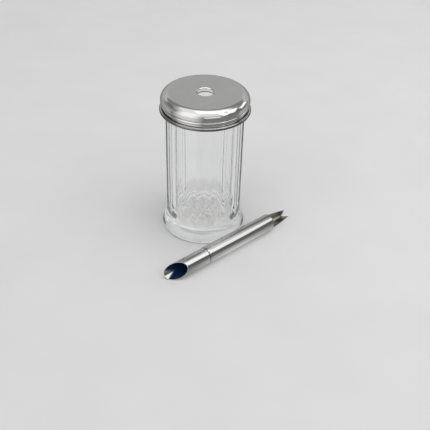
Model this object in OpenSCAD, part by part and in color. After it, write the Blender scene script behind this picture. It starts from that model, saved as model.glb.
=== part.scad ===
// Sugar shaker: a fluted glass jar with a screwed steel lid and a two-part pouring tube.
// The jar stands on z = 0 with its axis on Z. The tube is out of the lid and lies beside
// the jar along X, the way it lies when the shaker is taken apart to be filled.

/* [Glass jar] */
// Height of the glass from the table to its lip
jar_h = 133.6; // [115:0.1:150]
// Radius of the body over the ridges between the flutes
body_r = 34.9; // [32:0.1:40]
// Thickness of the wall at the ridges
wall_t = 4.4; // [3.4:0.1:6]
// Thickness of the floor at its edge
floor_t = 9.6; // [6:0.1:16]
// Rise of the floor to its middle
floor_dome = 3; // [0.5:0.1:5]
// Width of the flat gutter round the risen floor
gutter_w = 0.5; // [0.3:0.1:2]
// Rounding between the floor and the wall inside
cavity_round = 4.2; // [3:0.1:12]
// How far the foot stands out past the body
foot_out = 4; // [2:0.1:6]
// Height of the foot's upright rim
foot_h = 3; // [3:0.5:8]
// Height at which the foot's flare has run out into the body
flare_top = 22; // [18:1:40]
// Rounding of the foot's lower edge
foot_round = 1.2; // [0.5:0.1:2.5]
// Width of the ring on which the jar stands, with the rounding
stand_ring_w = 17.9; // [6:0.1:21]
// Depth of the hollow under the floor
hollow_h = 0.5; // [0.3:0.1:2.5]
// Height of the neck that goes into the lid
neck_h = 13.1; // [12:0.1:24]
// How far the neck stands out past the body
neck_out = 0.7; // [0.3:0.1:2]
// Height of the cove between the body and the neck
neck_cove_h = 3; // [1:0.5:6]
// Rounding of both edges of the lip
lip_round = 1.4; // [0.5:0.1:1.8]

/* [Flutes] */
// Number of flutes round the body
flute_n = 16; // [12:1:18]
// Depth of a flute below the ridges
flute_depth = 1.2; // [0.9:0.05:1.4]
// Radius of the round-nosed form that sinks a flute
flute_form_r = 32; // [24:1:40]
// Height at which a flute starts to run out into the foot
flute_low = 27; // [20:1:36]
// How far below the neck a flute starts to run out
flute_stop = 7; // [6:0.5:20]
// Turn of the flutes about the jar's axis
flute_turn = 4.2; // [0:0.1:22.5]

/* [Lid] */
// Thickness of the steel sheet
lid_sheet = 0.5; // [0.3:0.05:0.7]
// Room for the thread between the neck and the skirt
thread_room = 1.3; // [0.8:0.1:2]
// How far the upper part of the lid stands out past the skirt
cap_out = 1.6; // [1:0.1:2.5]
// Height of the upper part of the lid
cap_h = 8.6; // [8:0.1:10]
// Rounding of the lid's shoulder
shoulder_round = 7; // [4:0.5:7.2]
// Rounding under the shoulder
ledge_round = 1.2; // [0.8:0.1:1.4]
// Height of the whole lid
lid_h = 17; // [16:0.1:18]
// Radius of the rolled bead round the skirt
bead_r = 1.4; // [1:0.1:1.6]
// How far the bead stands out of the skirt
bead_out = 1; // [0.5:0.1:1.2]
// Depth of the bead's centre below the lid's top
bead_drop = 10.7; // [10.4:0.1:11.2]
// Radius of the curled lower edge
curl_r = 1.55; // [1.2:0.05:1.8]
// Slit between the curled edge and the skirt
curl_slit = 0.5; // [0.3:0.1:0.8]
// Depth of the drawn collar below the lid's top
collar_h = 4; // [3:0.1:7]
// Bend between the lid's top and the collar
collar_bend = 0.9; // [0.8:0.1:1.2]

/* [Sealing ring] */
// Thickness of the ring between the lip and the lid
seal_t = 1.9; // [1.2:0.1:2.4]
// How far the ring reaches inwards past the lip
seal_in = 1; // [0.5:0.1:3]
// Clearance between the ring and the lid's shoulder
seal_clear = 0.3; // [0.2:0.05:0.5]

/* [Pouring tube] */
// Outer diameter of the spout tube
spout_d = 14.7; // [12:0.1:18]
// Thickness of both tube walls
tube_wall = 0.3; // [0.25:0.05:0.6]
// Clearance round the spout tube in the lid's collar
collar_clear = 0.15; // [0.1:0.05:0.3]
// Length of the spout tube from its tip to the edge of the dosing tube
spout_reach = 42.1; // [34:0.1:60]
// Slope of the spout's bevel, measured from a square cut
spout_bevel = 49; // [30:1:55]
// Length of spout tube that is pressed into the dosing tube
joint_len = 12; // [8:0.5:20]
// Length of the dosing tube with its tongue
dosing_len = 108.1; // [85:0.1:120]
// Length over which the dosing tube's edge is drawn in to the spout tube
edge_taper = 2.4; // [0.5:0.1:5]
// Thickness of that edge
edge_t = 0.12; // [0.1:0.01:0.2]
// Length of the tongue at the dosing tube's open end
tongue_len = 29.7; // [20:0.1:34]
// Depth of the tongue's root below the tube's axis
tongue_root = 3; // [0.5:0.1:4]
// Depth of the tongue's points below the tube's axis
tongue_point = 6.6; // [5:0.1:6.9]
// Depth of the notch in the tongue's end
notch_h = 7.5; // [4:0.1:10]
// Angle of the notch
notch_angle = 57; // [40:1:70]
// Turn of the spout's bevel about the tube's axis, from upright towards the front
spout_turn = 54; // [0:1:90]
// Turn of the tongue about the tube's axis, from upright towards the front
tongue_turn = 33; // [0:1:90]
// Gap between the jar's foot and the tube that lies beside it
tube_gap = 4; // [2:0.5:20]
// How far the edge of the dosing tube lies to the left of the jar's axis
tube_shift = 40; // [0:0.1:60]

/* [Hidden] */
$fn = 96;

// Overshoot of a cut past the face that it opens
past = 1;

foot_r = body_r + foot_out;
neck_r = body_r + neck_out;
cavity_r = body_r - wall_t;
hollow_r = foot_r - stand_ring_w;
neck_z = jar_h - neck_h;
flute_high = neck_z - flute_stop;
flute_axis_r = body_r - flute_depth + flute_form_r;
// Half the angle of form that a flute needs, as far as its ridges, and a little more
flute_spare = 0.4;
flute_slice = flute_spare + acos((flute_form_r ^ 2 + flute_axis_r ^ 2 - body_r ^ 2)
    / (2 * flute_form_r * flute_axis_r));

lid_top = jar_h + seal_t + lid_sheet;
skirt_r = neck_r + thread_room + lid_sheet;
cap_r = skirt_r + cap_out;
cap_low = lid_top - cap_h;
curl_z = lid_top - lid_h + curl_r;
curl_axis_r = skirt_r - lid_sheet + curl_r;

spout_r = spout_d / 2;
dosing_r = spout_r + tube_wall;
collar_r = spout_r + collar_clear;
tube_y = -(foot_r + tube_gap + dosing_r);

// Radius of an arc that is tangent at one end and moves aside by `aside` over the height h
function arc_radius(h, aside) = (h * h + aside * aside) / (2 * aside);

// Half section out to r_end, with an edge that leaves r_start upright at z_start
// and bends out to r_end at z_end
module flared_section(r_start, z_start, r_end, z_end) {
    h = abs(z_end - z_start);
    arc = arc_radius(h, r_end - r_start);
    difference() {
        translate([0, min(z_start, z_end)])
            square([r_end, h]);
        translate([r_start + arc, z_start])
            circle(arc);
    }
}

// What has to go from an upper outer corner at the origin to round it
module corner_waste(r) {
    translate([-r, -r])
        difference() {
            square(r + past);
            circle(r);
        }
}

// Half section of the jar's hollow, open at the lip, over a floor that rises to its middle
module cavity_section() {
    flat_r = cavity_r - cavity_round;
    dome = arc_radius(flat_r - gutter_w, floor_dome);
    difference() {
        union() {
            translate([0, floor_t + cavity_round])
                square([cavity_r, jar_h]);
            translate([0, floor_t])
                square([flat_r, jar_h]);
            translate([flat_r, floor_t + cavity_round])
                circle(cavity_round);
        }
        translate([0, floor_t + floor_dome - dome])
            circle(dome);
    }
}

// Half section of the shallow dome under the floor
module hollow_section() {
    dome = arc_radius(hollow_r, hollow_h);
    translate([0, hollow_h - dome])
        circle(dome);
}

// Half section of the glass before the flutes are sunk
module jar_section() {
    difference() {
        union() {
            square([body_r, neck_z]);
            square([foot_r, foot_h]);
            flared_section(body_r, flare_top, foot_r, foot_h);
            flared_section(body_r, neck_z - neck_cove_h, neck_r, neck_z);
            translate([0, neck_z])
                square([neck_r, neck_h]);
        }
        translate([foot_r, 0])
            mirror([0, 1])
                corner_waste(foot_round);
        translate([neck_r, jar_h])
            corner_waste(lip_round);
        translate([cavity_r, jar_h])
            mirror([1, 0])
                corner_waste(lip_round);
        cavity_section();
        hollow_section();
    }
}

// Slice of the round-nosed form of one flute, with its round edge towards -X
module flute_form() {
    rotate(180 - flute_slice)
        rotate_extrude(angle = 2 * flute_slice)
            intersection() {
                union() {
                    translate([0, flute_low])
                        square([flute_form_r, flute_high - flute_low]);
                    for (z = [flute_low, flute_high])
                        translate([0, z])
                            circle(flute_form_r);
                }
                translate([0, flute_low - flute_form_r])
                    square([flute_form_r, flute_high - flute_low + 2 * flute_form_r]);
            }
}

module glass_jar() {
    color([0.80, 0.88, 0.86, 0.45])
        difference() {
            rotate_extrude()
                jar_section();
            for (i = [0 : flute_n - 1])
                rotate(flute_turn + i * 360 / flute_n)
                    translate([flute_axis_r, 0])
                        flute_form();
        }
}

// Half section of the space inside the lid's outer skin, drawn in by inset
module lid_space(inset) {
    difference() {
        translate([0, cap_low + inset])
            square([cap_r - inset, cap_h - 2 * inset]);
        translate([cap_r - inset, lid_top - inset])
            corner_waste(shoulder_round - inset);
        translate([cap_r - inset, cap_low + inset])
            mirror([0, 1])
                corner_waste(ledge_round - inset);
    }
    translate([0, curl_z - inset])
        square([skirt_r - inset, cap_low - curl_z + 2 * inset]);
    translate([skirt_r + bead_out - bead_r, lid_top - bead_drop])
        circle(bead_r - inset);
}

// Half section of the lower edge, curled outwards with a slit left at the skirt
module curl_section() {
    translate([curl_axis_r, curl_z])
        difference() {
            circle(curl_r);
            circle(curl_r - lid_sheet);
            translate([-curl_r, 0])
                square([lid_sheet + curl_slit, curl_r]);
        }
}

// Half section of the collar that is drawn down from the lid's top
module collar_section() {
    bend_r = collar_r + collar_bend;
    bend_z = lid_top - collar_bend;
    translate([collar_r, lid_top - collar_h])
        square([lid_sheet, collar_h - collar_bend]);
    intersection() {
        translate([bend_r, bend_z])
            difference() {
                circle(collar_bend);
                circle(collar_bend - lid_sheet);
            }
        translate([collar_r, bend_z])
            square(collar_bend);
    }
}

module lid() {
    color("silver")
        rotate_extrude() {
            difference() {
                lid_space(0);
                lid_space(lid_sheet);
                square([collar_r + collar_bend, lid_top + past]);
            }
            curl_section();
            collar_section();
        }
}

module seal_ring() {
    color("whitesmoke")
        rotate_extrude()
            intersection() {
                translate([cavity_r - seal_in, jar_h])
                    square([cap_r - cavity_r, seal_t]);
                union() {
                    lid_space(lid_sheet + seal_clear);
                    square([cap_r - shoulder_round, lid_top]);
                }
            }
}

// Lays a tube down beside the jar: Z becomes the tube's axis, and its start
// the edge of the dosing tube
module laid_down() {
    translate([-tube_shift, tube_y, dosing_r])
        rotate([0, 90, 0])
            children();
}

// Cuts through a tube whose side view is the child, with x towards the side that
// is turned up and to the front
module side_cut(turn) {
    rotate([0, 0, 180 + turn])
        rotate([90, 0, 0])
            linear_extrude(2 * (dosing_r + past), center = true)
                children();
}

// Half section of the spout tube's wall
module spout_section() {
    translate([spout_r - tube_wall, -spout_reach])
        square([tube_wall, spout_reach + joint_len]);
}

// Half section of the dosing tube's wall, with its edge drawn in to the spout tube
module dosing_section() {
    polygon([
        [spout_r, 0],
        [spout_r + edge_t, 0],
        [dosing_r, edge_taper],
        [dosing_r, dosing_len],
        [spout_r, dosing_len]
    ]);
}

module spout_tube() {
    side = spout_r + past;
    rise = side * tan(spout_bevel);
    middle = spout_r * tan(spout_bevel) - spout_reach;
    color("gainsboro")
        laid_down()
            difference() {
                rotate_extrude()
                    spout_section();
                side_cut(spout_turn)
                    polygon([[-side, middle - rise], [side, middle - rise], [side, middle + rise]]);
            }
}

module dosing_tube() {
    side = dosing_r + past;
    window_z = dosing_len - tongue_len;
    tongue_drop = (tongue_point - tongue_root) / tongue_len;
    notch_half = (notch_h + past) * tan(notch_angle / 2);
    color("silver")
        laid_down()
            difference() {
                rotate_extrude()
                    dosing_section();
                side_cut(tongue_turn)
                    polygon([
                        [side, window_z],
                        [-tongue_root, window_z],
                        [-tongue_point - past * tongue_drop, dosing_len + past],
                        [side, dosing_len + past]
                    ]);
                side_cut(tongue_turn + 90)
                    polygon([
                        [0, dosing_len - notch_h],
                        [notch_half, dosing_len + past],
                        [-notch_half, dosing_len + past]
                    ]);
            }
}

glass_jar();
lid();
seal_ring();
spout_tube();
dosing_tube();
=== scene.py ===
"""Looks of the sugar shaker: a fluted glass jar, a screwed steel lid and a loose pouring tube."""

import math

import bpy
import numpy as np
from mathutils import Matrix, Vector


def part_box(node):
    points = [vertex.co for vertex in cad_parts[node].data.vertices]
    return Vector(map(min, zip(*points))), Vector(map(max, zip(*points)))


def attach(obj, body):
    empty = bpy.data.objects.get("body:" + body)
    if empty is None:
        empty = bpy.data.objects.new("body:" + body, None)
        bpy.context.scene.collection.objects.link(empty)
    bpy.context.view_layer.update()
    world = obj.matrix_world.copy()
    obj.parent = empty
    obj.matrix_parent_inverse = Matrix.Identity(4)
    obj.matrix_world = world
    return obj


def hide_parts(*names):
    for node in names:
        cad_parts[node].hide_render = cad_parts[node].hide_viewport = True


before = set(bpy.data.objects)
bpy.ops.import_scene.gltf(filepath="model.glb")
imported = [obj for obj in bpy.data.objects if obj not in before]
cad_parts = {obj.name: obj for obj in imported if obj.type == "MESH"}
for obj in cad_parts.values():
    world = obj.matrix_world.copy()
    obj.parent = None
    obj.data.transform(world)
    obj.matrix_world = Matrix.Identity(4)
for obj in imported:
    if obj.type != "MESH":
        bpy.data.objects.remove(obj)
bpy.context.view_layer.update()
MM = 0.001


def top_of(solid):
    """Height of a solid's top over the table, in millimetres."""
    return round(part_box(solid)[1].z / MM, 2)


# Glass jar, in millimetres like all the sizes of the object
JAR_H = top_of("glass_jar")
JAR_WALL = 4.4
BODY_R = 34.9
CAVITY_R = BODY_R - JAR_WALL
CAVITY_ROUND = 4.2
FOOT_OUT = 4.0
FOOT_R = BODY_R + FOOT_OUT
FOOT_H = 3.0
FOOT_ROUND = 1.2
FLARE_TOP = 22.0
STAND_RING_W = 17.9
HOLLOW_R = FOOT_R - STAND_RING_W
HOLLOW_H = 0.5
NECK_OUT = 0.7
NECK_R = BODY_R + NECK_OUT
NECK_H = 13.1
NECK_Z = JAR_H - NECK_H
COVE_H = 3.0
LIP_ROUND = 1.4

# The jar's floor: a low dome inside a flat gutter, with painted shade in blotches out to a soft
# edge. FLOOR_TOP is just over it.
FLOOR_T = 9.6
FLOOR_DOME = 3.0
GUTTER_W = 0.5
FLOOR_R = CAVITY_R - CAVITY_ROUND - GUTTER_W
FLOOR_TOP = FLOOR_T + FLOOR_DOME + 1
MOTTLE_R = 25.0
MOTTLE_END_R = 30.0

# Flutes, each sunk by a round form
FLUTES = 16
FLUTE_STEPS = 22
FLUTE_DEPTH = 1.2
FLUTE_FORM_R = 32.0
FLUTE_AXIS_R = BODY_R - FLUTE_DEPTH + FLUTE_FORM_R
FLUTE_LOW = 27.0
FLUTE_STOP = 7.0
FLUTE_HIGH = NECK_Z - FLUTE_STOP
FLUTE_END = NECK_Z + 5
FLUTE_TURN = 4.2
RIDGE_MELT = 0.7

# Thread on the neck. It runs in and out over a share of a turn.
THREAD_PITCH = 5.0
THREAD_START = 124.2
THREAD_TURNS = 1.4
THREAD_RUN_IN = 1 / 9
THREAD_CREST = 0.95
THREAD_HALF = 1.3

# Lid
LID_TOP = top_of("lid")
LID_H = 17.0
LID_STEPS = 288
SHEET = 0.5
THREAD_ROOM = 1.3
SKIRT_R = NECK_R + THREAD_ROOM + SHEET
CAP_OUT = 1.6
CAP_R = SKIRT_R + CAP_OUT
CAP_H = 8.6
CAP_LOW = LID_TOP - CAP_H
SHOULDER = 7.0
LEDGE = 1.2
BEAD_R = 1.4
BEAD_OUT = 1.0
BEAD_DROP = 10.7
BEAD_AT = (SKIRT_R + BEAD_OUT - BEAD_R, LID_TOP - BEAD_DROP)
CURL_R = 1.55
CURL_AT = (SKIRT_R - SHEET + CURL_R, LID_TOP - LID_H + CURL_R)
CURL_TOP = CURL_AT[1] + CURL_R
COLLAR_R = 7.5
COLLAR_H = 4.0
COLLAR_LOW = LID_TOP - COLLAR_H
COLLAR_BEND = 0.9

# Angles in degrees of the curl's cut edge, on the inner and the outer face of its sheet
CURL_END_IN = 121.6
CURL_END_OUT = 110.8

# The lid's top is satin out to the first radius, and polished from the second
SATIN_R = CAP_R - SHOULDER - 0.3
POLISHED_R = SATIN_R + 0.8

# Sealing ring
SEAL_TOP = top_of("seal_ring")
SEAL_OVERHANG = 1.0
SEAL_IN = CAVITY_R - SEAL_OVERHANG
SEAL_OUT = 36.3
SEAL_STEPS = 160

# Pouring tube, along X. The two tubes meet at TUBE_X. Turns are in degrees, from up to the front.
SPOUT_R = 7.35
SPOUT_STEPS = 192
TUBE_WALL = 0.3
DOSING_R = SPOUT_R + TUBE_WALL
DOSING_STEPS = 240
TUBE_GAP = 4.0
TUBE_X = -40.0
TUBE_Y = -(FOOT_R + TUBE_GAP + DOSING_R)
TUBE_Z = DOSING_R
SPOUT_REACH = 42.1
SPOUT_BEVEL = 49.0
SPOUT_TURN = 54.0
JOINT_LEN = 12.0
DOSING_LEN = 108.1
TONGUE_LEN = 29.7
TONGUE_ROOT = 3.0
TONGUE_POINT = 6.6
TONGUE_TURN = 33.0
NOTCH_H = 7.5
NOTCH_ANGLE = 57.0
EDGE_TAPER = 2.4
EDGE_T = 0.12
EDGE_EASE = 0.1

# The bright V inside the spout, a painted reflection: its point, and how far it runs along for each step
# aside
V_POINT = -71.0
V_SLOPE = 2.2


# Mesh helpers

def arc(centre, r, start, end, n):
    """Points of an arc in a half section, from angle start to angle end in degrees."""
    a = np.radians(np.linspace(start, end, n))
    return np.stack([centre[0] + r * np.cos(a), centre[1] + r * np.sin(a)], 1)


def line(p, q, n):
    """Points of a straight line in a half section."""
    return np.linspace(p, q, n)


def points(r, z):
    """Points of a half section, from their heights and their radius or radii."""
    return np.stack(np.broadcast_arrays(r, z), 1)


def join(*parts):
    """One polyline out of several, without the points that repeat."""
    chain = np.concatenate([np.asarray(p, float).reshape(-1, 2) for p in parts])
    keep = np.r_[True, np.linalg.norm(np.diff(chain, axis=0), axis=1) > 1e-4]
    return chain[keep]


def steps(chain):
    """Length of each side of a closed polyline."""
    return np.linalg.norm(np.roll(chain, -1, 0) - chain, axis=1)


def blur(chain, reach):
    """A closed polyline with its corners eased over about reach, as bent sheet has them."""
    out = np.empty_like(chain)
    step = steps(chain)
    along = np.r_[0, np.cumsum(step)[:-1]]
    total = step.sum()
    share = 0.5 * (step + np.roll(step, 1))
    for i in range(len(chain)):
        d = np.abs(along - along[i])
        d = np.minimum(d, total - d)
        weight = np.exp(-0.5 * (d / reach) ** 2) * share
        out[i] = (weight[:, None] * chain).sum(0) / weight.sum()
    return out


def resample(chain, step):
    """A closed polyline with its points about step apart, corners kept."""
    out = []
    for p, q in zip(chain, np.roll(chain, -1, 0)):
        n = max(1, int(round(np.linalg.norm(q - p) / step)))
        out.append(p + (q - p) * (np.arange(n) / n)[:, None])
    return np.concatenate(out)


def thinned(chain, every):
    """A closed polyline with all the points of its bends, and one in every of its straights."""
    ahead = np.roll(chain, -1, 0) - chain
    behind = chain - np.roll(chain, 1, 0)
    bends = np.abs(np.cross(ahead, behind)) > 2e-4
    return chain[bends | (np.arange(len(chain)) % every == 0)]


def full_turn(n):
    """Angles of n even steps round a circle."""
    return 2 * math.pi * np.arange(n) / n


def spun(section, n):
    """Rows of points of a section in (r, z) that is turned round Z."""
    a = full_turn(n)
    r, z = section[:, :1], section[:, 1:]
    return np.stack([r * np.cos(a), r * np.sin(a), np.broadcast_to(z, (len(section), n))], 2)


def skin(name, rows, loop, materials, slots=None, poles=False, sharp=40):
    """A mesh over rows of points, closed along each row. loop joins the last row to the
    first; poles closes both ends on a point. slots gives the material of each strip."""
    n_rows, n = rows.shape[:2]
    verts = rows.reshape(-1, 3)
    strips = n_rows if loop else n_rows - 1
    faces, of = [], []
    j = np.arange(n)
    for i in range(strips):
        a, b = i * n, ((i + 1) % n_rows) * n
        quad = np.stack([a + j, a + (j + 1) % n, b + (j + 1) % n, b + j], 1)
        faces += quad.tolist()
        of += [0 if slots is None else int(slots[i])] * n
    if poles:
        first, last = len(verts), len(verts) + 1
        verts = np.concatenate([verts, [rows[0].mean(0)], [rows[-1].mean(0)]])
        top = (n_rows - 1) * n
        faces += [[first, (k + 1) % n, k] for k in range(n)]
        faces += [[last, top + k, top + (k + 1) % n] for k in range(n)]
        of += [0] * (2 * n)
    mesh = bpy.data.meshes.new(name)
    mesh.from_pydata((verts * MM).tolist(), [], faces)
    mesh.polygons.foreach_set("material_index", of)
    mesh.polygons.foreach_set("use_smooth", [True] * len(faces))
    for m in materials:
        mesh.materials.append(m)
    mesh.update()
    mesh.set_sharp_from_angle(angle=math.radians(sharp))
    return added(name, mesh)


def added(name, data):
    """A new object in the scene."""
    obj = bpy.data.objects.new(name, data)
    bpy.context.scene.collection.objects.link(obj)
    return obj


# Material helpers

# How grain is stretched: the same all ways, or drawn out along a tube
EVEN = (1, 1, 1)
DRAWN = (6, 300, 300)


def material(name):
    """A new material and its empty node tree."""
    m = bpy.data.materials.new(name)
    m.use_nodes = True
    m.node_tree.nodes.clear()
    return m, m.node_tree


def node(tree, kind, inputs=None, **fields):
    """A node with its fields and inputs set: an input is a value or another node's output."""
    n = tree.nodes.new(kind)
    for key, value in fields.items():
        setattr(n, key, value)
    for key, value in (inputs or {}).items():
        if isinstance(value, bpy.types.NodeSocket):
            tree.links.new(value, n.inputs[key])
        else:
            n.inputs[key].default_value = value
    return n


def calc(tree, operation, *values):
    """Arithmetic on numbers."""
    return node(tree, "ShaderNodeMath", dict(enumerate(values)), operation=operation).outputs["Value"]


def vector(tree, operation, *values):
    """Arithmetic on vectors. A length and a dot product are numbers."""
    n = node(tree, "ShaderNodeVectorMath", dict(enumerate(values)), operation=operation)
    return n.outputs["Value" if operation in ("LENGTH", "DOT_PRODUCT") else "Vector"]


def fade(tree, value, start, end):
    """0 at start and before it, 1 at end and after it. end may be the lower of the two."""
    limits = {"Value": value, "From Min": start, "From Max": end}
    return node(tree, "ShaderNodeMapRange", limits).outputs["Result"]


def spread(tree, value, low, high):
    """A 0 to 1 value moved to low to high."""
    limits = {"Value": value, "To Min": low, "To Max": high}
    return node(tree, "ShaderNodeMapRange", limits).outputs["Result"]


def mix(tree, factor, a, b, kind="RGBA"):
    """Colour a where factor is 0 and b where it is 1. The kind FLOAT mixes numbers."""
    return node(tree, "ShaderNodeMix", {"Factor": factor, "A": a, "B": b}, data_type=kind).outputs["Result"]


def ramp(tree, factor, stops):
    """A colour ramp: stops are (place, grey or colour)."""
    n = node(tree, "ShaderNodeValToRGB", {"Fac": factor})
    e = n.color_ramp.elements
    for i, (place, c) in enumerate(stops):
        el = e[i] if i < 2 else e.new(place)
        el.position = place
        el.color = (c, c, c, 1) if isinstance(c, (int, float)) else (*c, 1)
    return n.outputs["Color"]


def two_tone(tree, factor, dark, light):
    """A colour that goes from dark to light with some grain."""
    return ramp(tree, factor, [(0.3, dark), (0.7, light)])


def here(tree):
    """The point of the surface, in the object's own space."""
    return node(tree, "ShaderNodeTexCoord").outputs["Object"]


def part(tree, at, axis):
    """One coordinate of a point."""
    return node(tree, "ShaderNodeSeparateXYZ", {0: at}).outputs[axis]


def from_axis(tree, at):
    """Distance from the upright axis of the jar and the lid."""
    return vector(tree, "LENGTH", vector(tree, "MULTIPLY", at, (1, 1, 0)))


def across(tree, at, turn):
    """Distance from the tube's middle plane, when that is turned round the tube by an angle."""
    c, s = math.cos(math.radians(turn)), math.sin(math.radians(turn))
    middle = (TUBE_Y * c + TUBE_Z * s) * MM
    return calc(tree, "SUBTRACT", vector(tree, "DOT_PRODUCT", at, (0, c, s)), middle)


def towards(tree, at, direction, start, end):
    """Grows from 0 to 1 while at goes from start to end along a direction."""
    return fade(tree, vector(tree, "DOT_PRODUCT", at, direction), start, end)


def grain(tree, stretch, scale, detail=3.0, rough=0.5):
    """Noise in the object's own space, stretched by its axes."""
    mapped = node(tree, "ShaderNodeMapping", {"Vector": here(tree), "Scale": stretch}).outputs["Vector"]
    look = {"Vector": mapped, "Scale": scale, "Detail": detail, "Roughness": rough}
    return node(tree, "ShaderNodeTexNoise", look).outputs["Fac"]


def drawn_lines(tree):
    """Fine lines along a drawn tube."""
    return grain(tree, DRAWN, 6.0, 4.0, 0.6)


def bump(tree, height, strength, distance):
    """The surface's normal with a fine relief."""
    look = {"Height": height, "Strength": strength, "Distance": distance}
    return node(tree, "ShaderNodeBump", look).outputs["Normal"]


def principled(tree, inputs, volume=None):
    """Ends a material with one surface, and what is inside it."""
    surface = node(tree, "ShaderNodeBsdfPrincipled", inputs).outputs["BSDF"]
    out = node(tree, "ShaderNodeOutputMaterial", {"Surface": surface})
    if volume is not None:
        tree.links.new(volume, out.inputs["Volume"])


# Materials

def clear_glass():
    m, t = material("clear_pressed_glass")
    at = here(t)
    z = part(t, at, "Z")
    away = from_axis(t, at)
    tint = two_tone(t, grain(t, EVEN, 45), (0.99, 0.994, 0.992), (0.997, 0.998, 0.998))
    # Painted shade on the floor, inside and underneath: grey blotches that darken what is seen through it
    disc = fade(t, away, MOTTLE_END_R * MM, MOTTLE_R * MM)
    low = calc(t, "LESS_THAN", z, FLOOR_TOP * MM)
    spots = grain(t, EVEN, 190, 5.0, 0.6)
    painted_shade_blotch = ramp(t, spots, [(0.38, (0.60, 0.60, 0.585)), (0.66, (0.985, 0.985, 0.98))])
    tint = mix(t, calc(t, "MULTIPLY", disc, low), tint, painted_shade_blotch)
    # The thick lower edge of the foot shows the green of the glass, darkened as painted shade into an
    # outline
    edge = fade(t, z, FOOT_ROUND * MM, 0.2 * MM)
    rim = calc(t, "GREATER_THAN", away, (FOOT_R - FOOT_ROUND) * MM)
    shaded_green = two_tone(t, grain(t, EVEN, 30), (0.40, 0.54, 0.50), (0.48, 0.62, 0.58))
    tint = mix(t, calc(t, "MULTIPLY", edge, rim), tint, shaded_green)
    # Outside, a diffuse share of up to a quarter where the flutes run out into the foot: painted light that
    # keeps their ends from turning black
    diffuse_fill = ramp(t, z, [(10 * MM, 1.0), (14 * MM, 0.75), (21 * MM, 0.75), (28 * MM, 1.0)])
    outside = calc(t, "GREATER_THAN", away, (CAVITY_R + 1) * MM)
    inside = node(t, "ShaderNodeVolumeAbsorption", {"Color": (0.72, 0.90, 0.86, 1), "Density": 2.0})
    principled(t, {
        "Base Color": tint, "Roughness": 0.0, "IOR": 1.5,
        "Transmission Weight": mix(t, outside, 1.0, diffuse_fill, "FLOAT"),
        "Normal": bump(t, grain(t, (1, 1, 0.45), 70, 2.0), 0.05, 0.001)},
        inside.outputs["Volume"])
    return m


def lid_steel():
    m, t = material("lid_steel")
    at = here(t)
    z = part(t, at, "Z")
    away = from_axis(t, at)
    fine = grain(t, EVEN, 900, 4.0, 0.6)
    cloud = grain(t, EVEN, 40)
    colour = two_tone(t, cloud, (0.695, 0.691, 0.683), (0.745, 0.741, 0.731))
    # Painted shade: the rolled lower edge is darkened in colour, standing in for the dark it reflects
    curl_shade_mask = fade(t, z, (CURL_TOP + 0.3) * MM, (CURL_TOP - 0.7) * MM)
    dark = two_tone(t, cloud, (0.20, 0.196, 0.19), (0.25, 0.246, 0.24))
    colour = mix(t, curl_shade_mask, colour, dark)
    # Painted highlight: the bend into the collar is lighter in colour
    rim = calc(t, "LESS_THAN", away, (COLLAR_R + COLLAR_BEND - 0.1) * MM)
    painted_highlight = two_tone(t, cloud, (0.84, 0.836, 0.826), (0.9, 0.896, 0.886))
    colour = mix(t, rim, colour, painted_highlight)
    # Painted light and shade: the collar is lighter in colour inside, and painted dark as shade at its cut
    # lower edge
    hole = calc(t, "LESS_THAN", away, (COLLAR_R + 0.15) * MM)
    shade = two_tone(t, cloud, (0.80, 0.796, 0.786), (0.88, 0.876, 0.866))
    painted_shade_mask = fade(t, z, (COLLAR_LOW + 1.0) * MM, (COLLAR_LOW + 0.5) * MM)
    cut = two_tone(t, cloud, (0.05, 0.049, 0.047), (0.09, 0.088, 0.085))
    colour = mix(t, hole, colour, mix(t, painted_shade_mask, shade, cut))
    # The flat top is satin, the shoulder and skirt are polished
    top = calc(t, "GREATER_THAN", away, (COLLAR_R + COLLAR_BEND) * MM)
    satin = calc(t, "MULTIPLY", fade(t, away, POLISHED_R * MM, SATIN_R * MM), top)
    rough = mix(t, satin, spread(t, fine, 0.04, 0.09), spread(t, fine, 0.24, 0.34), "FLOAT")
    principled(t, {
        "Base Color": colour, "Metallic": 1.0, "Roughness": rough, "Specular Tint": (0.5, 0.5, 0.5, 1),
        "Normal": bump(t, fine, 0.02, 0.0001)})
    return m


def tube_steel():
    m, t = material("tube_steel")
    drawn = drawn_lines(t)
    cloud = grain(t, (1, 3, 3), 30)
    colour = two_tone(t, cloud, (0.51, 0.507, 0.499), (0.56, 0.557, 0.549))
    # Painted shade: a dark line on the spout in the crevice where one tube goes into the other
    crevice = calc(t, "COMPARE", part(t, here(t), "X"), (TUBE_X - 0.1) * MM, 0.5 * MM)
    crevice_shade = two_tone(t, cloud, (0.18, 0.177, 0.172), (0.24, 0.236, 0.23))
    principled(t, {
        "Base Color": mix(t, crevice, colour, crevice_shade), "Metallic": 1.0,
        "Roughness": spread(t, drawn, 0.02, 0.06), "Normal": bump(t, drawn, 0.02, 0.0001)})
    return m


def spout_inside():
    """Painted shade and reflection inside the spout: dark blue in its depth, and a V of bright steel at its
    tip.
    """
    m, t = material("spout_inside")
    at = here(t)
    cloud = grain(t, (1, 2, 2), 60)
    painted_dark_blue = two_tone(t, cloud, (0.006, 0.022, 0.068), (0.012, 0.035, 0.095))
    painted_bright_v = two_tone(t, cloud, (0.50, 0.497, 0.49), (0.56, 0.556, 0.55))
    aside = calc(t, "ABSOLUTE", across(t, at, SPOUT_TURN))
    along = calc(t, "MULTIPLY_ADD", aside, V_SLOPE, part(t, at, "X"))
    painted_shade_mask = fade(t, along, (V_POINT - 1) * MM, (V_POINT + 1) * MM)
    principled(t, {
        "Base Color": mix(t, painted_shade_mask, painted_bright_v, painted_dark_blue), "Metallic": spread(t, painted_shade_mask, 1.0, 0.1),
        "Roughness": spread(t, drawn_lines(t), 0.04, 0.08)})
    return m


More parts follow.
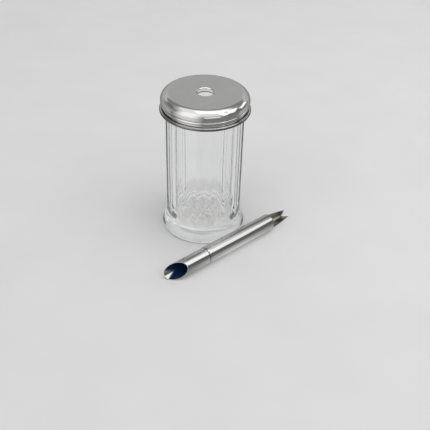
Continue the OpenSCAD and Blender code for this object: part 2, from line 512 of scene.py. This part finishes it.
def dosing_inside():
    """Painted reflections and shade inside the dosing tube: brown and grey bands, darker and patchy on the
    front half of its tongue.
    """
    m, t = material("dosing_inside")
    at = here(t)
    end = TUBE_X + DOSING_LEN
    along = fade(t, part(t, at, "X"), (end - TONGUE_LEN) * MM, end * MM)
    uneven = spread(t, grain(t, EVEN, 420, 2.0), -0.12, 0.12)
    place = calc(t, "ADD", along, uneven)
    # Painted reflections and shade: bands along the tongue, for its front and back halves
    front = ramp(t, place, [
        (0.0, (0.10, 0.085, 0.07)), (0.2, (0.05, 0.045, 0.04)), (0.38, (0.26, 0.21, 0.17)),
        (0.52, (0.05, 0.048, 0.045)), (0.68, (0.07, 0.067, 0.063)), (0.78, (0.36, 0.35, 0.33))])
    back = ramp(t, place, [
        (0.0, (0.30, 0.27, 0.235)), (0.55, (0.25, 0.225, 0.195)), (0.74, (0.08, 0.075, 0.07)),
        (0.86, (0.28, 0.27, 0.255))])
    half = fade(t, across(t, at, TONGUE_TURN), -1.2 * MM, -0.6 * MM)
    principled(t, {
        "Base Color": mix(t, half, front, back), "Metallic": 0.7,
        "Roughness": spread(t, drawn_lines(t), 0.04, 0.08)})
    return m


def silicone():
    m, t = material("silicone")
    cloud = grain(t, EVEN, 120, 4.0)
    principled(t, {
        "Base Color": two_tone(t, cloud, (0.80, 0.80, 0.78), (0.88, 0.88, 0.86)),
        "Roughness": spread(t, cloud, 0.45, 0.6), "Normal": bump(t, cloud, 0.1, 0.0004)})
    return m


# Glass jar

def flare(z, z_start, r_start, z_end, r_end):
    """Radius on an arc that leaves r_start upright at z_start and reaches r_end at z_end."""
    h, out = abs(z_end - z_start), r_end - r_start
    r = (h * h + out * out) / (2 * out)
    return r_start + r - np.sqrt(np.maximum(r * r - (z - z_start) ** 2, 0))


def dome(r, rim, height):
    """Height on a round dome that comes down to 0 at the radius rim."""
    ball = (rim ** 2 + height ** 2) / (2 * height)
    return height - ball + np.sqrt(ball ** 2 - r ** 2)


def jar_section():
    """The jar's half section in its five stretches: underneath, foot, outer wall, lip, inside."""
    r_under = np.r_[np.linspace(2, HOLLOW_R - 1.2, 12), np.linspace(HOLLOW_R - 0.7, HOLLOW_R, 3)]
    under = points(r_under, dome(r_under, HOLLOW_R, HOLLOW_H))
    foot = join(
        line((HOLLOW_R + 0.4, 0), (FOOT_R - FOOT_ROUND, 0), 4),
        arc((FOOT_R - FOOT_ROUND, FOOT_ROUND), FOOT_ROUND, -90, 0, 9),
        line((FOOT_R, FOOT_ROUND + 0.4), (FOOT_R, FOOT_H), 5))
    z_flare = np.linspace(FOOT_H, FLUTE_LOW + 4, 54)[1:]
    z_body = np.linspace(FLUTE_LOW + 4, FLUTE_HIGH - 1, 26)[1:]
    z_ends = np.linspace(FLUTE_HIGH, NECK_Z - COVE_H, 19)
    z_cove = np.linspace(NECK_Z - COVE_H, NECK_Z, 8)[1:]
    z_neck = np.linspace(NECK_Z, JAR_H - LIP_ROUND, 52)[1:]
    outer = join(
        points(flare(np.minimum(z_flare, FLARE_TOP), FLARE_TOP, BODY_R, FOOT_H, FOOT_R), z_flare),
        points(BODY_R, z_body),
        points(BODY_R, z_ends),
        points(flare(z_cove, NECK_Z - COVE_H, BODY_R, NECK_Z, NECK_R), z_cove),
        points(NECK_R, z_neck))
    lip = join(
        arc((NECK_R - LIP_ROUND, JAR_H - LIP_ROUND), LIP_ROUND, 0, 90, 8)[1:],
        arc((CAVITY_R + LIP_ROUND, JAR_H - LIP_ROUND), LIP_ROUND, 90, 180, 8))
    z_in = np.linspace(JAR_H - LIP_ROUND - 0.6, FLOOR_T + CAVITY_ROUND + 0.6, 34)
    r_floor = np.linspace(FLOOR_R, 1.5, 26)
    inside = join(
        points(CAVITY_R, z_in),
        arc((CAVITY_R - CAVITY_ROUND, FLOOR_T + CAVITY_ROUND), CAVITY_ROUND, 0, -90, 14),
        points(r_floor, FLOOR_T + dome(r_floor, FLOOR_R, FLOOR_DOME)))
    return under, foot, outer, lip, inside


def fluted(r, z, turn):
    """Radius with the flutes sunk into it, and the ridges between them melted a little round."""
    pitch = 2 * math.pi / FLUTES
    off = (turn - math.radians(FLUTE_TURN) + pitch / 2) % pitch - pitch / 2
    dz = z - np.clip(z, FLUTE_LOW, FLUTE_HIGH)
    square = FLUTE_FORM_R ** 2 - dz ** 2 - (FLUTE_AXIS_R * np.sin(off)) ** 2
    form = FLUTE_AXIS_R * np.cos(off) - np.sqrt(np.maximum(square, 0))
    sunk = np.where(square > 0, form, FLUTE_AXIS_R)
    h = np.clip(0.5 + 0.5 * (sunk - r) / RIDGE_MELT, 0, 1)
    return sunk * (1 - h) + r * h - RIDGE_MELT * h * (1 - h)


def thread(z, turn):
    """How far the right-hand thread stands out of the neck, with its two ends run out."""
    out = np.zeros_like(z)
    for lap in range(math.ceil(THREAD_TURNS) + 1):
        along = turn / (2 * math.pi) + lap
        on = np.clip(np.minimum(along, THREAD_TURNS - along) / THREAD_RUN_IN, 0, 1)
        gap = np.abs(z - (THREAD_START + THREAD_PITCH * along)) / THREAD_HALF
        crest = np.cos(np.clip(gap, 0, 1) * math.pi / 2) ** 1.5
        out += THREAD_CREST * crest * on * on * (3 - 2 * on)
    return out


def jar():
    """The jar's section turned round Z, with flutes, a thread and the small waves of pressed glass."""
    stretches = jar_section()
    section = np.concatenate(stretches)
    stretch = np.repeat(np.arange(len(stretches)), [len(s) for s in stretches])[:, None]
    outer, inside = stretch == 2, stretch == 4
    n = FLUTES * FLUTE_STEPS
    r = np.repeat(section[:, :1], n, 1)
    z = np.repeat(section[:, 1:], n, 1)
    turn = np.repeat(full_turn(n)[None], len(section), 0)
    r = np.where(outer & (z < FLUTE_END), fluted(r, z, turn), r)
    r = r + np.where(outer & (z > NECK_Z), thread(z, turn), 0)
    # Pressed glass is never quite even inside
    wave = 0.03 * np.sin(3 * turn + z / 31) + 0.02 * np.sin(5 * turn - z / 23 + 1.3)
    r = r - np.where(inside & (z > FLOOR_T + CAVITY_ROUND), 0.06 + wave, 0)
    x, y = r * np.cos(turn), r * np.sin(turn)
    chill = 0.10 * np.sin(x / 2.3 + 0.5 * np.sin(y / 3.1)) * np.sin(y / 2.7 + 0.6 * np.sin(x / 3.7))
    floor_part = inside & (r < FLOOR_R) & (z < FLOOR_TOP)
    z = z + np.where(floor_part, chill * np.clip((FLOOR_R - r) / 2, 0, 1), 0)
    return skin("jar_glass", np.stack([x, y, z], 2), False, [clear_glass()], poles=True, sharp=60)


# Lid and its sealing ring

def lid():
    """One sheet: a curled edge, a skirt with a bead, a shoulder, a flat top and a collar."""
    inner_r = SKIRT_R - SHEET
    under = LID_TOP - SHEET
    bead_out = math.degrees(math.acos((SKIRT_R - BEAD_AT[0]) / BEAD_R))
    bead_in = math.degrees(math.acos((inner_r - BEAD_AT[0]) / (BEAD_R - SHEET)))
    bend = (COLLAR_R + COLLAR_BEND, LID_TOP - COLLAR_BEND)
    shoulder = (CAP_R - SHOULDER, LID_TOP - SHOULDER)
    ledge = (CAP_R - LEDGE, CAP_LOW + LEDGE)
    outside = join(
        arc(CURL_AT, CURL_R - SHEET, CURL_END_IN, -180, 40),
        line((SKIRT_R, CURL_AT[1] + 0.2), (SKIRT_R, BEAD_AT[1] - BEAD_R - 0.2), 10),
        arc(BEAD_AT, BEAD_R, -bead_out, bead_out, 20),
        line((SKIRT_R, CAP_LOW - 0.3), (SKIRT_R, CAP_LOW), 3),
        arc(ledge, LEDGE, -90, 0, 12),
        arc(shoulder, SHOULDER, 0, 90, 40),
        line((shoulder[0] - 0.5, LID_TOP), (bend[0] + 0.3, LID_TOP), 26),
        arc(bend, COLLAR_BEND, 90, 180, 10),
        line((COLLAR_R, bend[1] - 0.2), (COLLAR_R, COLLAR_LOW), 9))
    inside = join(
        line((COLLAR_R + SHEET, COLLAR_LOW), (COLLAR_R + SHEET, bend[1]), 9),
        arc(bend, COLLAR_BEND - SHEET, 180, 90, 6),
        line((bend[0] + 0.3, under), (shoulder[0] - 0.5, under), 20),
        arc(shoulder, SHOULDER - SHEET, 90, 0, 30),
        arc(ledge, LEDGE - SHEET, 0, -90, 8),
        line((inner_r, CAP_LOW + SHEET), (inner_r, BEAD_AT[1] + BEAD_R), 4),
        arc(BEAD_AT, BEAD_R - SHEET, bead_in, -bead_in, 14),
        line((inner_r, BEAD_AT[1] - BEAD_R), (inner_r, CURL_AT[1] + 0.3), 6),
        arc(CURL_AT, CURL_R, 180, CURL_END_OUT + 360, 44))
    section = thinned(blur(resample(join(outside, inside), 0.22), 0.10), 6)
    return skin("lid_shell", spun(section, LID_STEPS), True, [lid_steel()])


def seal():
    """A flat ring with a slanted outer lip, and a groove near its inner edge."""
    low, top = JAR_H, SEAL_TOP
    section = join(
        line((SEAL_OUT, low + 0.15), (SEAL_OUT - 0.4, top - 0.75), 4),
        line((SEAL_OUT - 1.0, top - 0.4), (SEAL_OUT - 2.6, top), 4),
        line((SEAL_IN + 2.4, top), (SEAL_IN + 2.1, top - 0.25), 2),
        line((SEAL_IN + 1.6, top - 0.25), (SEAL_IN + 1.3, top), 2),
        line((SEAL_IN + 0.3, top), (SEAL_IN, top - 0.3), 3),
        line((SEAL_IN, low + 0.3), (SEAL_IN + 0.3, low), 3),
        line((SEAL_IN + 2.0, low), (SEAL_OUT - 0.2, low), 6))
    return skin("seal_pad", spun(section, SEAL_STEPS), True, [silicone()])


# Pouring tube

def tube(name, r_out, start, end, turns, n_rows, materials, taper=0.0, edge=TUBE_WALL):
    """A thin tube along X with shaped ends. start and end give how far along the tube the
    metal begins and ends, from the angle (0 is up, 90 the front) and the radius. The start is
    drawn in over the length taper, to a wall of the thickness edge."""
    r_in = r_out - TUBE_WALL
    share = 0.5 * (1 - np.cos(np.linspace(0, math.pi, n_rows)))
    rim = np.radians([30, 60, 90, 120, 150])
    rows, slots = [], []

    def row(r, along, slot=0):
        rows.append(np.stack([TUBE_X + along, TUBE_Y - r * np.sin(turns), TUBE_Z + r * np.cos(turns)], 1))
        slots.append(slot)

    if taper:
        row(r_in + edge, start(turns, r_in + edge) + EDGE_EASE)
    for s in share:
        a, b = start(turns, r_out) + max(EDGE_EASE, taper), end(turns, r_out) - EDGE_EASE
        row(r_out, a + (b - a) * s)
    for c in rim:
        r = r_in + TUBE_WALL / 2 * (1 + math.cos(c))
        row(r, end(turns, r) - EDGE_EASE * (1 - math.sin(c)))
    for s in share[::-1]:
        a, b = start(turns, r_in) + EDGE_EASE, end(turns, r_in) - EDGE_EASE
        row(r_in, a + (b - a) * s, 1 if s > 0 else 0)
    for c in rim[::-1]:
        r = r_in + edge / 2 * (1 + math.cos(c))
        row(r, start(turns, r) + EDGE_EASE * (1 - math.sin(c)))
    return skin(name, np.stack(rows), True, materials, slots)


def spout(materials):
    """The upper tube, cut off at a slant."""
    slope = math.tan(math.radians(SPOUT_BEVEL))

    def tip(turns, r):
        return SPOUT_R * slope - SPOUT_REACH + r * np.cos(turns - math.radians(SPOUT_TURN)) * slope

    def far(turns, r):
        return np.full(len(turns), JOINT_LEN)

    return tube("spout", SPOUT_R, tip, far, full_turn(SPOUT_STEPS), 24, materials)


def dosing(materials):
    """The lower tube, cut back at its far end to a tongue with a notch."""
    window = DOSING_LEN - TONGUE_LEN
    drop = (TONGUE_POINT - TONGUE_ROOT) / TONGUE_LEN
    side = 1 / math.tan(math.radians(NOTCH_ANGLE / 2))
    t = math.radians(TONGUE_TURN)

    def near(turns, r):
        return np.zeros(len(turns))

    def far(turns, r):
        up, aside = r * np.cos(turns - t), r * np.sin(turns - t)
        tongue = np.clip(window + (-TONGUE_ROOT - up) / drop, window, DOSING_LEN)
        return np.minimum(tongue, DOSING_LEN - NOTCH_H + np.abs(aside) * side)

    # Points all round, closer together on the tongue, and one at each of its root's corners
    root = math.acos(-TONGUE_ROOT / DOSING_R)
    even = full_turn(DOSING_STEPS)
    fine = t + math.pi + np.radians(np.linspace(-76, 76, 153))
    turns = np.r_[even, np.r_[fine, t + root, t - root] % (2 * math.pi)]
    turns = np.unique(np.round(turns, 6))
    return tube("dosing", DOSING_R, near, far, turns, 40, materials, EDGE_TAPER, EDGE_T)


def put(piece, body, solid):
    """A piece moves with a body and stands for a solid, which is hidden."""
    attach(piece, body)
    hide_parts(solid)


steel = tube_steel()
put(jar(), "jar", "glass_jar")
put(lid(), "lid", "lid")
put(seal(), "seal", "seal_ring")
put(spout([steel, spout_inside()]), "tube", "spout_tube")
put(dosing([steel, dosing_inside()]), "tube", "dosing_tube")


# Stage, in metres

# The room's front is turned about Z from -Y by an angle in degrees
ROOM_TURN = -40.8


def way(azimuth, height=0):
    """A direction in the room. azimuth goes from its front to its right, in degrees."""
    a, h = math.radians(azimuth + ROOM_TURN), math.radians(height)
    return math.sin(a) * math.cos(h), -math.cos(a) * math.cos(h), math.sin(h)


TO_FRONT = way(0)
TO_RIGHT = way(90)
TO_LEFT = way(-90)
TO_WINDOW = way(-44)
TO_DOOR = way(-112, 28)

FLOOR_SIZE = 30.0
FLOOR_Z = -0.0002
LIGHTS_AIM = (0, 0, 0.07)
CAMERA_AT = (-0.35066, -0.40648, 0.40657)
CAMERA_TURN = (-42.008, 53.17, 1.79)
CAMERA_LENS = 57.912
CAMERA_FILM = 36.0


def turned(first, tilt, last):
    """A turn about Z, then a tilt about the new X, then a turn about the new Z, in degrees."""
    return (Matrix.Rotation(math.radians(first), 4, "Z") @ Matrix.Rotation(math.radians(tilt), 4, "X")
            @ Matrix.Rotation(math.radians(last), 4, "Z"))


def floor():
    """A wide pale floor that metal and glass see more simply than the camera does."""
    m, t = material("pale_floor")
    at = here(t)
    colour = two_tone(t, grain(t, EVEN, 14, 4.0), 0.742, 0.768)
    paper = node(t, "ShaderNodeBsdfPrincipled", {
        "Base Color": colour, "Roughness": 0.9, "Specular IOR Level": 0.1})
    # Glass shows the same pale floor, without the shadow that is right under it
    plain = node(t, "ShaderNodeEmission", {"Color": colour, "Strength": 0.9})
    # Metal sees a painted floor: bright right by the object, darker farther out where the paper ends,
    # a painted pool of light towards the window, and mid grey in the back half
    away = vector(t, "LENGTH", at)
    reach = ramp(t, away, [(0.058, 1.0), (0.067, 0.7), (0.08, 0.55), (0.09, 0.38), (0.13, 0.24)])
    lit = ramp(t, away, [(0.09, 0.56), (0.2, 0.85)])
    glow = towards(t, vector(t, "NORMALIZE", at), TO_WINDOW, 0.76, 0.985)
    ahead = towards(t, at, TO_FRONT, -0.03, 0.05)
    reach = mix(t, ahead, (0.5, 0.5, 0.5, 1), mix(t, glow, reach, lit))
    ends = node(t, "ShaderNodeEmission", {"Color": reach, "Strength": 1.0})
    ray = node(t, "ShaderNodeLightPath").outputs
    metal = node(t, "ShaderNodeMixShader", {
        0: ray["Is Glossy Ray"], 1: paper.outputs["BSDF"], 2: ends.outputs["Emission"]})
    both = node(t, "ShaderNodeMixShader", {
        0: ray["Is Transmission Ray"], 1: metal.outputs["Shader"], 2: plain.outputs["Emission"]})
    node(t, "ShaderNodeOutputMaterial", {"Surface": both.outputs["Shader"]})
    mesh = bpy.data.meshes.new("floor")
    corners = [(-1, -1), (1, -1), (1, 1), (-1, 1)]
    mesh.from_pydata([(x * FLOOR_SIZE, y * FLOOR_SIZE, FLOOR_Z) for x, y in corners], [], [(0, 1, 2, 3)])
    mesh.materials.append(m)
    added("floor", mesh)


def room():
    """A pale room with a light far wall and ceiling, and darker low down at the sides."""
    w = bpy.data.worlds.new("room")
    bpy.context.scene.world = w
    w.use_nodes = True
    t = w.node_tree
    t.nodes.clear()
    at = node(t, "ShaderNodeTexCoord").outputs["Generated"]
    up = part(t, at, "Z")
    level = vector(t, "NORMALIZE", vector(t, "MULTIPLY", at, (1, 1, 0)))
    near = towards(t, at, TO_FRONT, -0.5, 0.3)
    right = towards(t, at, TO_RIGHT, 0.65, 0.85)
    left = towards(t, at, TO_LEFT, 0.65, 0.85)
    far_wall = ramp(t, up, [
        (0.0, 0.55), (0.25, 0.6), (0.4, 0.58), (0.5, 0.66), (0.56, 0.28), (0.66, 0.26), (0.79, 0.3),
        (0.84, 1.0), (1.0, 1.0)])
    near_wall = ramp(t, up, [(0.0, 0.36), (0.3, 0.34), (0.5, 0.7), (0.7, 0.9), (0.9, 1.0), (1.0, 1.0)])
    right_wall = ramp(t, up, [(0.0, 0.2), (0.45, 0.18), (0.6, 0.34), (0.79, 0.4), (0.84, 1.0), (1.0, 1.0)])
    left_wall = ramp(t, up, [(0.0, 0.45), (0.3, 0.28), (0.6, 0.3), (0.85, 0.9), (1.0, 1.0)])
    window = ramp(t, up, [(0.0, 1.1), (0.3, 1.25), (0.8, 1.25), (0.95, 1.0)])
    door = ramp(t, up, [(0.3, 0.3), (0.5, 0.18), (0.7, 0.18)])
    seen = mix(t, near, far_wall, near_wall)
    seen = mix(t, right, seen, right_wall)
    seen = mix(t, left, seen, left_wall)
    seen = mix(t, towards(t, level, TO_WINDOW, 0.8, 0.98), seen, window)
    seen = mix(t, towards(t, at, TO_DOOR, 0.95, 0.985), seen, door)
    # Glass shows a plainer room
    plain_wall = ramp(t, up, [
        (0.0, 0.48), (0.3, 0.62), (0.5, 0.67), (0.6, 0.62), (0.68, 0.45), (0.78, 0.6), (0.86, 0.95),
        (1.0, 1.0)])
    plain_side = ramp(t, up, [(0.0, 0.46), (0.45, 0.46), (0.6, 0.56), (0.85, 0.9), (1.0, 1.0)])
    plain = mix(t, near, plain_wall, near_wall)
    plain = mix(t, right, plain, plain_side)
    plain = mix(t, left, plain, plain_side)
    ray = node(t, "ShaderNodeLightPath").outputs
    seen = mix(t, ray["Is Transmission Ray"], seen, plain)
    backdrop = ramp(t, up, [(0.0, 0.66), (0.5, 0.7)])
    seen = mix(t, ray["Is Camera Ray"], seen, backdrop)
    light = node(t, "ShaderNodeBackground", {"Color": seen, "Strength": 1.0}).outputs["Background"]
    node(t, "ShaderNodeOutputWorld", {"Surface": light})


def softbox(name, azimuth, height, distance, size, radiance, roll=0, in_glass=False):
    """An area light aimed at the object. azimuth goes from the room's front to its right."""
    data = bpy.data.lights.new(name, "AREA")
    data.shape = "RECTANGLE"
    data.size, data.size_y = size
    data.energy = 4 * radiance * size[0] * size[1]
    obj = added(name, data)
    turn = turned(azimuth + ROOM_TURN, 90 - height, roll)
    obj.matrix_world = Matrix.Translation(LIGHTS_AIM) @ turn @ Matrix.Translation((0, 0, distance))
    obj.visible_transmission = in_glass


def camera():
    data = bpy.data.cameras.new("camera")
    data.sensor_width = CAMERA_FILM
    data.lens = CAMERA_LENS
    data.clip_start = 0.01
    obj = added("camera", data)
    obj.matrix_world = Matrix.Translation(CAMERA_AT) @ turned(*CAMERA_TURN)
    bpy.context.scene.camera = obj


floor()
room()
softbox("overhead", 90, 82, 1.3, (0.6, 0.9), 1.0, in_glass=True)
softbox("right", 84, 42, 1.3, (0.85, 0.45), 0.82, roll=46, in_glass=True)
softbox("low_front", 18, 18, 1.5, (1.0, 0.15), 1.1)
softbox("right_back", 116, 25, 1.4, (0.65, 0.4), 0.85)
softbox("front_right", 54, 40, 1.4, (0.32, 0.7), 0.9)
camera()
bpy.context.scene.view_settings.view_transform = "Standard"
